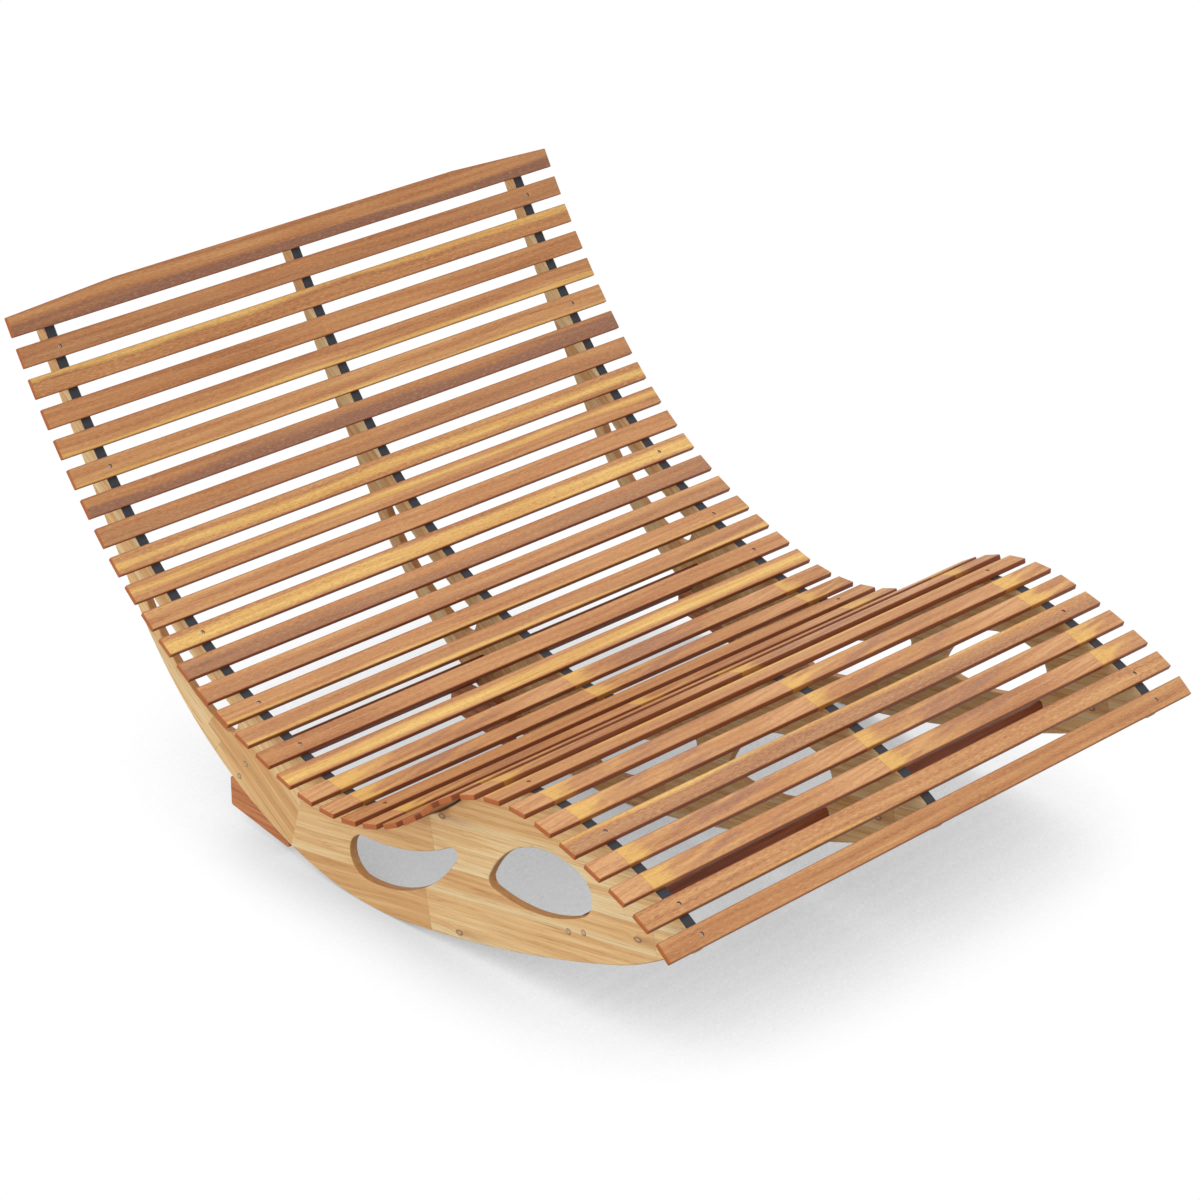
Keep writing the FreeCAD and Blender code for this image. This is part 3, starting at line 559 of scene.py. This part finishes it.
def nearest_knot(along, height):
    """Distance to the nearer of two knots, and the dark tails that they draw in the grain."""
    distances, tails = [], []
    for knot_along, knot_height in KNOTS:
        run, rise = along - knot_along, height - knot_height
        reach = run * KNOT_STRETCH
        distances.append((reach * reach + rise * rise).root())
        tail = run.between(-0.12, -0.01) * run.between(0.006, 0.0)
        tails.append(tail * abs(rise + wander(along, 0.06) * 0.008).between(0.012, 0.0))
    return along.math("MINIMUM", *distances), tails[0] + tails[1]


print("rows in a tile:", len(ROW_HEIGHTS), "tile height in mm:", round(TILE_HEIGHT * 1000, 1))

# %% Edge-glued acacia
# The slope of the grain in degrees, and where the first row starts across it.
SEAT_GRAIN = (-10.4, -0.008)
BACK_GRAIN = (35.4, -0.0877)


def edge_glued(name, grain_angle, first_row):
    material, wire, shader = new_finish(name, 0.5, 0.3)
    x, y, z = wire.node("ShaderNodeTexCoord", None, None, "Object").parts()
    cos, sin = math.cos(math.radians(grain_angle)), math.sin(math.radians(grain_angle))
    along = y * cos + z * sin
    across = z * cos - y * sin

    height = (across - first_row) % TILE_HEIGHT
    masks, in_row = rows(height)
    run = (along - chosen(masks, BUTT_PLACES)) / STAVE_LENGTH
    stave = run.floor()
    foot_stave = abs(stave) % 2
    tone = chosen(masks, [near + foot_stave * (far - near) for near, far in STAVE_TONES])

    knot, tails = nearest_knot(along, height)
    swirl = knot.between(0.022, 0.0) * 0.008
    bent = across + swirl + wander(along, 0.35) * 0.012 + stave * 0.037
    start = along + stave * 1.7
    figure = streaks(start, bent, x, 0.30, 0.0085, 3.0)
    lines = streaks(start, bent, x, 0.14, 0.0017, 2.0)
    pores = streaks(start, bent, x, 0.014, 0.0008, 1.0).between(0.62, 0.74)

    colour = wire.node("ShaderNodeValToRGB", {"stops": [
        (0.0, srgb(220, 170, 114)),
        (0.35, srgb(232, 190, 133)),
        (0.65, srgb(240, 205, 149)),
        (1.0, srgb(248, 226, 178)),
    ]}, {0: tone + (figure - 0.5) * 1.8})
    cream = foot_stave * (in_row + (figure - 0.5) * 0.02).between(0.018, 0.006)
    colour = wire.mix(cream * 0.65, colour, srgb(245, 226, 178))
    veins = abs(figure - 0.40).between(0.016, 0.0)
    colour = wire.mix(veins * 0.55, colour, srgb(184, 132, 88))
    colour = wire.mix(lines.between(0.54, 0.72) * 0.52, colour, srgb(176, 122, 72))
    colour = wire.mix(pores * 0.3, colour, srgb(160, 108, 64))
    colour = wire.mix(tails * 0.5, colour, srgb(176, 124, 92))
    ragged = knot + (figure - 0.5) * 0.005
    colour = wire.mix(ragged.between(0.0068, 0.0040) * 0.75, colour, srgb(126, 84, 66))
    colour = wire.mix(ragged.between(0.0034, 0.0018) * 0.9, colour, srgb(212, 176, 146))
    seam = abs(in_row - 0.0003).between(0.0009, 0.0002)
    butt = abs((run % 1.0) * STAVE_LENGTH - 0.0004).between(0.0010, 0.0002)
    colour = wire.mix(seam * 0.30 + butt * 0.30, colour, srgb(150, 104, 62))
    # Painted shade: faces that turn away from X, the cut edges and the walls of the cut-outs, are
    # darkened towards orange-brown.
    face_on, _, _ = wire.node("ShaderNodeNewGeometry", None, None, "Normal").parts()
    wall = abs(face_on).between(0.75, 0.2)
    colour = wire.mix(wall * 0.65, colour, srgb(196, 134, 76))
    feed(shader, "Base Color", colour)
    feed(shader, "Roughness", 0.46 + lines * 0.12)
    relief(shader, lines * 0.5 - pores - seam * 0.5 - butt * 0.5, GRAIN_RELIEF)
    return material


def paint(finish, *nodes):
    for node in nodes:
        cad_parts[node].material_slots[0].material = finish


seat_board_finish = edge_glued("seat_board_acacia", *SEAT_GRAIN)
back_board_finish = edge_glued("back_board_acacia", *BACK_GRAIN)
for side in ("left", "middle", "right"):
    paint(seat_board_finish, side + "_seat_board")
    paint(back_board_finish, side + "_back_board")
print("frame finish nodes:", len(seat_board_finish.node_tree.nodes))

# %% [markdown]
# The stretchers and the rear stops are solid boards of the redder heartwood, with the same
# three layers of streaks. The stretchers get darker colours than the stops, as painted shade for
# their place under the seat. Their shape is the model's, so they too only get a material.


# %% Red heartwood
def red_heartwood(name, grain_axis, dark, middle, light):
    """Heartwood with its grain along an axis, in three colours."""
    material, wire, shader = new_finish(name, 0.5, 0.3)
    x, y, z = wire.node("ShaderNodeTexCoord", None, None, "Object").parts()
    along, across, deep = (x, y, z) if grain_axis == "x" else (y, z, x)
    bent = across + wander(along, 0.4) * 0.012
    figure = streaks(along, bent, deep, 0.3, 0.009, 3.0)
    lines = streaks(along, bent, deep, 0.12, 0.0016, 2.0)
    pores = streaks(along, bent, deep, 0.015, 0.0008, 1.0).between(0.60, 0.72)
    colour = wire.node("ShaderNodeValToRGB", {"stops": [
        (0.28, dark),
        (0.50, middle),
        (0.74, light),
    ]}, {0: figure})
    colour = wire.mix(lines.between(0.52, 0.70) * 0.4, colour, dark)
    colour = wire.mix(pores * 0.4, colour, srgb(92, 48, 32))
    feed(shader, "Base Color", colour)
    feed(shader, "Roughness", 0.46 + lines * 0.14)
    relief(shader, lines * 0.6 - pores, GRAIN_RELIEF)
    return material


# Painted shade: the stretchers' colours are darker than the stops' to stand for the shade under the
# seat.
shaded_stretcher_finish = red_heartwood("stretcher_heartwood_painted_shade", "x",
                                 srgb(118, 60, 38), srgb(148, 82, 52), srgb(166, 102, 68))
stop_finish = red_heartwood("stop_heartwood", "y",
                            srgb(158, 94, 58), srgb(200, 128, 82), srgb(222, 156, 104))
paint(shaded_stretcher_finish, "left_front_stretcher", "right_front_stretcher",
      "left_rear_stretcher", "right_rear_stretcher")
paint(stop_finish, "left_rear_stop", "middle_rear_stop", "right_rear_stop")
print("red heartwood nodes:", len(shaded_stretcher_finish.node_tree.nodes))

# %% [markdown]
# Under the slats a dark webbing strap runs along each frame. It is a flat woven band, so it is
# built as one: a ribbed section with round selvedges is carried along a smooth curve through the
# undersides of all the slats. The places along and across the band are attributes, and the shader
# draws the picks of the weave with them.

# %% Charcoal webbing
STRAP_RIBS = 7
PICK_PITCH = 0.0021
PICK_RELIEF = 0.0003


def charcoal_webbing():
    material, wire, shader = new_finish("charcoal_webbing", 0.85, 0.2)
    along, across, _ = attribute(wire, "weave").parts()
    rib = (across * STRAP_RIBS).floor()
    phase = (along / PICK_PITCH + (rib % 2) * 0.5) * math.tau
    pick = phase.math("SINE", phase) * 0.5 + 0.5
    fuzz = streaks(along, across, across, 0.004, 0.03, 2.0)
    colour = wire.mix(pick * 0.7 + fuzz * 0.3, srgb(46, 48, 53), srgb(86, 88, 94))
    feed(shader, "Base Color", colour)
    feed(shader, "Roughness", 0.78 + fuzz * 0.15)
    relief(shader, pick, PICK_RELIEF)
    return material


strap_finish = charcoal_webbing()
print("webbing nodes:", len(strap_finish.node_tree.nodes))

# %% Section and line of a strap
STRAP_THICKNESS = 0.002
SEAT_CLEARANCE = 0.00035
RIB_HEIGHT = 0.00022
RIB_POINTS = 6
SELVEDGE_SHARE = 0.25
SELVEDGE_RISE = 8
STEPS_PER_SLAT = 10


def strap_section(width, thickness):
    """(across, out, share) points round the ribbed band, counter-clockwise from its +X selvedge."""
    half, flat = width / 2, thickness / 2 - RIB_HEIGHT
    steps = STRAP_RIBS * RIB_POINTS
    top = []
    for step in range(steps + 1):
        share = step / steps
        rib = abs(math.sin(math.pi * share * STRAP_RIBS)) * RIB_HEIGHT
        edge = min(1.0, SELVEDGE_RISE * min(share, 1 - share) * half / thickness + SELVEDGE_SHARE)
        top.append((half - share * width, flat * edge + rib, share))
    return top + [(across, -out, share) for across, out, share in reversed(top)]


def strap_line(lift):
    """Points and out directions along the seat, a lift below the slats' undersides."""
    places, outs, tangents = [], [], []
    for number in range(1, SLAT_COUNT + 1):
        axes = axes_of[number]
        outs.append(np.array(axes.col[2])[:3])
        tangents.append(-np.array(axes.col[1])[:3])
        places.append(np.array(axes.translation) + outs[-1] * (-slat_thickness - lift))
    line = []
    for first in range(SLAT_COUNT - 1):
        second = first + 1
        span = np.linalg.norm(places[second] - places[first])
        steps = STEPS_PER_SLAT + (second == SLAT_COUNT - 1)
        for step in range(steps):
            t = step / STEPS_PER_SLAT
            point = ((2 * t ** 3 - 3 * t ** 2 + 1) * places[first]
                     + (t ** 3 - 2 * t ** 2 + t) * span * tangents[first]
                     + (3 * t ** 2 - 2 * t ** 3) * places[second]
                     + (t ** 3 - t ** 2) * span * tangents[second])
            out = outs[first] * (1 - t) + outs[second] * t
            line.append((point, out / np.linalg.norm(out)))
    return line


line = strap_line(SEAT_CLEARANCE + STRAP_THICKNESS / 2)
print("places along a strap:", len(line))

# %% The three straps
for side in ("left", "middle", "right"):
    node = side + "_strap"
    box_low, box_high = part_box(node)
    centre = middle_x(node)
    section = strap_section(box_high.x - box_low.x, STRAP_THICKNESS)
    points, faces, weave = [], [], []
    travelled = 0.0
    for number, (place, out) in enumerate(line):
        if number:
            travelled += np.linalg.norm(place - line[number - 1][0])
        for across, lift, share in section:
            points.append(place + out * lift + np.array((centre + across, 0, 0)))
            weave.append((travelled, share, 0.0))
    count = len(section)
    for ring in range(len(line) - 1):
        for step in range(count):
            after = (step + 1) % count
            faces.append((ring * count + step, ring * count + after,
                          (ring + 1) * count + after, (ring + 1) * count + step))
    faces.append(tuple(range(count)))
    faces.append(tuple(range(len(points) - count, len(points))))
    mesh = new_mesh(side + "_webbing", points, faces)
    mark(mesh, "weave", weave)
    add_piece(side + "_webbing_band", mesh, strap_finish, "webbing", node)
print("strap length in mm:", round(travelled * 1000))

# %% [markdown]
# The screws are small, but their bright heads in countersinks, whose walls are painted dark as
# shade, show on ten slats. A head is a disc of rings whose height dips into a cross-shaped recess,
# with its cone and shank below.


# %% Zinc-plated steel
def zinc_steel():
    material, wire, shader = new_finish("zinc_steel", 0.35, 0.5)
    shader.inputs["Metallic"].default_value = 1.0
    x, y, z = wire.node("ShaderNodeTexCoord", None, None, "Object").parts()
    haze = streaks(x, y, z, 0.004, 0.004, 3.0)
    feed(shader, "Base Color", wire.mix(haze, srgb(146, 144, 140), srgb(204, 201, 196)))
    feed(shader, "Roughness", 0.28 + haze * 0.2)
    return material


steel = zinc_steel()
paint(steel, "stop_screws", "stretcher_bolts", "middle_studs", "barrel_nuts")
print("steel nodes:", len(steel.node_tree.nodes))

# %% One screw
HEAD_RADIUS = 0.0029
HEAD_RIM = 0.0003
SHANK_RADIUS = 0.0017
TIP_RADIUS = 0.0002
SCREW_LENGTH = 0.028
RECESS_DEPTH = 0.0013
RECESS_REACH = 0.0021
RECESS_HALF = 0.00055
RECESS_WALL = 0.5
RECESS_SLOPE = 0.6
HEAD_RINGS = 12
HEAD_SPOKES = 32


def recess(x, y):
    """Depth of the cross recess at a place on a screw's head."""
    arm = min(abs(x), abs(y))
    reach = max(abs(x), abs(y))
    outer = RECESS_HALF * (1 + RECESS_WALL / 2)
    wall = min(1.0, max(0.0, (outer - arm) / (RECESS_HALF * RECESS_WALL)))
    slope = min(1.0, max(0.0, (RECESS_REACH - reach) / (RECESS_REACH * RECESS_SLOPE)))
    return RECESS_DEPTH * wall * slope


def screw_points():
    """Rings of a countersunk screw that points down -Z, from the middle of its head."""
    rings = [(HEAD_RADIUS * ring / HEAD_RINGS, None) for ring in range(1, HEAD_RINGS + 1)]
    rings += [(HEAD_RADIUS, -HEAD_RIM), (SHANK_RADIUS, SHANK_RADIUS - HEAD_RADIUS),
              (SHANK_RADIUS, 2 * SHANK_RADIUS - SCREW_LENGTH), (TIP_RADIUS, -SCREW_LENGTH)]
    points = [(0.0, 0.0, -RECESS_DEPTH)]
    for radius, depth in rings:
        for spoke in range(HEAD_SPOKES):
            angle = math.tau * spoke / HEAD_SPOKES
            x, y = radius * math.cos(angle), radius * math.sin(angle)
            points.append((x, y, -recess(x, y) if depth is None else depth))
    return points, len(rings)


def ring_faces(first, rings, spokes):
    """Faces of a closed turned shape: a fan at its middle point, bands and an end."""
    faces = []
    for spoke in range(spokes):
        after = (spoke + 1) % spokes
        faces.append((first, first + 1 + spoke, first + 1 + after))
        for ring in range(rings - 1):
            this, that = first + 1 + ring * spokes, first + 1 + (ring + 1) * spokes
            faces.append((this + spoke, that + spoke, that + after, this + after))
    last = first + 1 + (rings - 1) * spokes
    faces.append(tuple(range(last, last + spokes)))
    return faces


screw, ring_count = screw_points()
print("points of a screw:", len(screw))

# %% The 20 slat screws
HEAD_SINK = 0.0023

points, faces = [], []
for number in SCREWED_SLATS:
    for place in screw_places:
        faces += ring_faces(len(points), ring_count, HEAD_SPOKES)
        seat = axes_of[number] @ Matrix.Translation((place, 0, -HEAD_SINK))
        turn = seat @ Matrix.Rotation(number, 4, "Z")
        points += [turn @ Vector(point) for point in screw]
add_piece("slat_screw_set", new_mesh("slat_screw_set", points, faces), steel, "steel", "slat_screws")
print("slat screws:", len(SCREWED_SLATS) * len(screw_places))

# %% [markdown]
# Pale wooden plugs cover the stretcher bolts on the outer frames. Each is a turned button with a
# low dome, and its rim is painted dark as the shadow of a gap round it, so it reads as a separate
# piece. The model holds all eight as solids of one node, so their places are read from it: the
# points of one plug's outer face lie close together.

# %% Plug wood and places
PLUG_SPOKES = 40
PLUG_DOME = 0.0011
# Radius of each ring, and its height as a share of the dome.
PLUG_PROFILE = ((0.0011, 1.0), (0.0024, 0.95), (0.0034, 0.82), (0.0041, 0.55), (0.0046, 0.18),
                (0.0053, -0.2))
PLUG_DEPTH = 0.0028
PLUG_REACH = 0.012
PLUG_RELIEF = 0.0001


def pale_plug_wood():
    material, wire, shader = new_finish("pale_plug_wood", 0.55, 0.3)
    x, y, z = wire.node("ShaderNodeTexCoord", None, None, "Object").parts()
    rings = streaks(y + z * 0.4, z, x, 0.012, 0.0011, 2.0)
    colour = wire.mix(rings.between(0.35, 0.7), srgb(186, 160, 128), srgb(212, 190, 160))
    # Painted shadow: the outer rings of each plug are darkened as if a gap ran round it.
    colour = wire.mix(attribute(wire, "rim", "Fac") * 0.75, colour, srgb(120, 84, 52))
    feed(shader, "Base Color", colour)
    feed(shader, "Roughness", 0.5 + rings * 0.15)
    relief(shader, rings, PLUG_RELIEF)
    return material


def plug_centres():
    """Middle of each plug's outer face, from the separate solids of the model's node."""
    points = node_points("bolt_caps")
    outer = points[abs(points[:, 0]) > abs(points[:, 0]).max() - SAME_PLANE]
    groups = []
    for point in outer:
        near = [group for group in groups if np.linalg.norm(group[0] - point) < PLUG_REACH]
        if near:
            near[0].append(point)
        else:
            groups.append([point])
    return [(np.min(group, axis=0) + np.max(group, axis=0)) / 2 for group in groups]


plug_finish = pale_plug_wood()
paint(plug_finish, "joint_dowels")
print("plugs:", len(plug_centres()))

# %% The eight plugs
points, faces, shaded_rims = [], [], []
for centre in plug_centres():
    outward = 1 if centre[0] > 0 else -1
    faces += ring_faces(len(points), len(PLUG_PROFILE) + 1, PLUG_SPOKES)
    points.append(centre + np.array((outward * PLUG_DOME, 0, 0)))
    shaded_rims.append(0.0)
    for radius, share in (*PLUG_PROFILE, (PLUG_PROFILE[-1][0], -PLUG_DEPTH / PLUG_DOME)):
        # The outer rings take the painted shadow round the plug.
        shaded_rims += [1.0 if share < 0.5 else 0.0] * PLUG_SPOKES
        for spoke in range(PLUG_SPOKES):
            angle = math.tau * spoke / PLUG_SPOKES
            offset = (outward * PLUG_DOME * share, radius * math.cos(angle), radius * math.sin(angle))
            points.append(centre + np.array(offset))
plug_mesh = new_mesh("bolt_plugs", points, faces)
mark(plug_mesh, "rim", shaded_rims)
add_piece("bolt_plugs", plug_mesh, plug_finish, "pale_wood", "bolt_caps")
print("points of all plugs:", len(points))

# %% [markdown]
# The set is plain, and its pale floor takes the shadow. The floor gives only a little warm light
# back to the lounger, so that its undersides stay dark. To the camera and in mirrored light it shows
# how much open sky each of its places sees: white in the open and grey under the slats. That is a
# soft shadow without the tint that the wood gives the light there.

# %% Floor
FLOOR_HALF = 40.0
FLOOR_BOUNCE = (0.22, 0.15, 0.10, 1.0)
FLOOR_WHITE = 1.01
SHADOW_REACH = 2.0
# Level of a place that sees no sky, and its rise up to a place that sees all of it.
SHADOW_LEVEL = 0.24
OPEN_SKY_GAIN = 1.13
BLACK = (0.0, 0.0, 0.0, 1.0)
WHITE = (1.0, 1.0, 1.0, 1.0)


def directly_seen(wire):
    """1 for rays from the camera, also by way of metal or glass, and 0 for light that is passed on."""
    rays = [wire.node("ShaderNodeLightPath", None, None, name)
            for name in ("Is Camera Ray", "Is Glossy Ray", "Is Transmission Ray")]
    return (rays[0] + rays[1]) + rays[2]


def studio_floor():
    material, wire, shader = new_finish("studio_floor", 0.9, 0.0)
    shader.inputs["Emission Strength"].default_value = 1.0
    seen = directly_seen(wire)
    open_sky = wire.node("ShaderNodeAmbientOcclusion", None, {"Distance": SHADOW_REACH}, "AO")
    level = wire.math("MINIMUM", SHADOW_LEVEL + open_sky * OPEN_SKY_GAIN, FLOOR_WHITE)
    feed(shader, "Base Color", wire.mix(seen, FLOOR_BOUNCE, BLACK))
    feed(shader, "Emission Color", wire.mix(seen, BLACK, level))
    return material


corners = [(-FLOOR_HALF, -FLOOR_HALF, 0), (FLOOR_HALF, -FLOOR_HALF, 0),
           (FLOOR_HALF, FLOOR_HALF, 0), (-FLOOR_HALF, FLOOR_HALF, 0)]
floor_mesh = bpy.data.meshes.new("floor")
floor_mesh.from_pydata(corners, [], [(0, 1, 2, 3)])
floor_mesh.materials.append(studio_floor())
floor = bpy.data.objects.new("floor", floor_mesh)
bpy.context.scene.collection.objects.link(floor)
print("floor width in m:", 2 * FLOOR_HALF)

# %% [markdown]
# The light is soft and comes from all round: the world gives most of it, and shows white to the
# camera. Two wide suns shape the wood. One stands overhead, a little to the right, and one shines low
# from the left on the near frame and the ends of the slats. All stay at a level at which a colour
# renders about as it is written.

# %% World and lamps
SKY_LIGHT = (0.87, 0.87, 0.87, 1.0)
# Strength, spread in degrees and tilt in degrees of each lamp.
LAMPS = {"overhead": (0.8, 60, (0, 30, 0)), "side_fill": (1.35, 40, (83, 0, -78))}

world = bpy.data.worlds.new("studio")
bpy.context.scene.world = world
world.use_nodes = True
sky = Wire(world.node_tree)
background = world.node_tree.nodes["Background"]
feed(background, "Color", sky.mix(directly_seen(sky), SKY_LIGHT, WHITE))

for name, (strength, spread, tilt) in LAMPS.items():
    lamp = bpy.data.lights.new(name, "SUN")
    lamp.energy = strength
    lamp.angle = math.radians(spread)
    holder = bpy.data.objects.new(name, lamp)
    holder.rotation_euler = [math.radians(angle) for angle in tilt]
    bpy.context.scene.collection.objects.link(holder)
print("lamps:", ", ".join(LAMPS))

# %% [markdown]
# The camera looks down at the lounger's left foot corner, from about 7 m away with a long lens. Its
# place, turn and lens are fitted to the photograph. It has neither shift nor depth of field, so it
# can be moved round the lounger without side effects.

# %% Camera
CAMERA_PLACE = (-4.1568, -4.2364, 3.2587)
CAMERA_AZIMUTH = -44.303
CAMERA_DOWN = 25.801
CAMERA_LENS = 111.69
SENSOR_WIDTH = 36.0

camera = bpy.data.cameras.new("camera")
camera.lens = CAMERA_LENS
camera.sensor_width = SENSOR_WIDTH
viewer = bpy.data.objects.new("camera", camera)
viewer.location = CAMERA_PLACE
viewer.rotation_euler = (math.radians(90 - CAMERA_DOWN), 0, math.radians(CAMERA_AZIMUTH))
bpy.context.scene.collection.objects.link(viewer)
bpy.context.scene.camera = viewer
bpy.context.scene.view_settings.view_transform = "Standard"
print("camera distance in m:", round(viewer.location.length, 2))
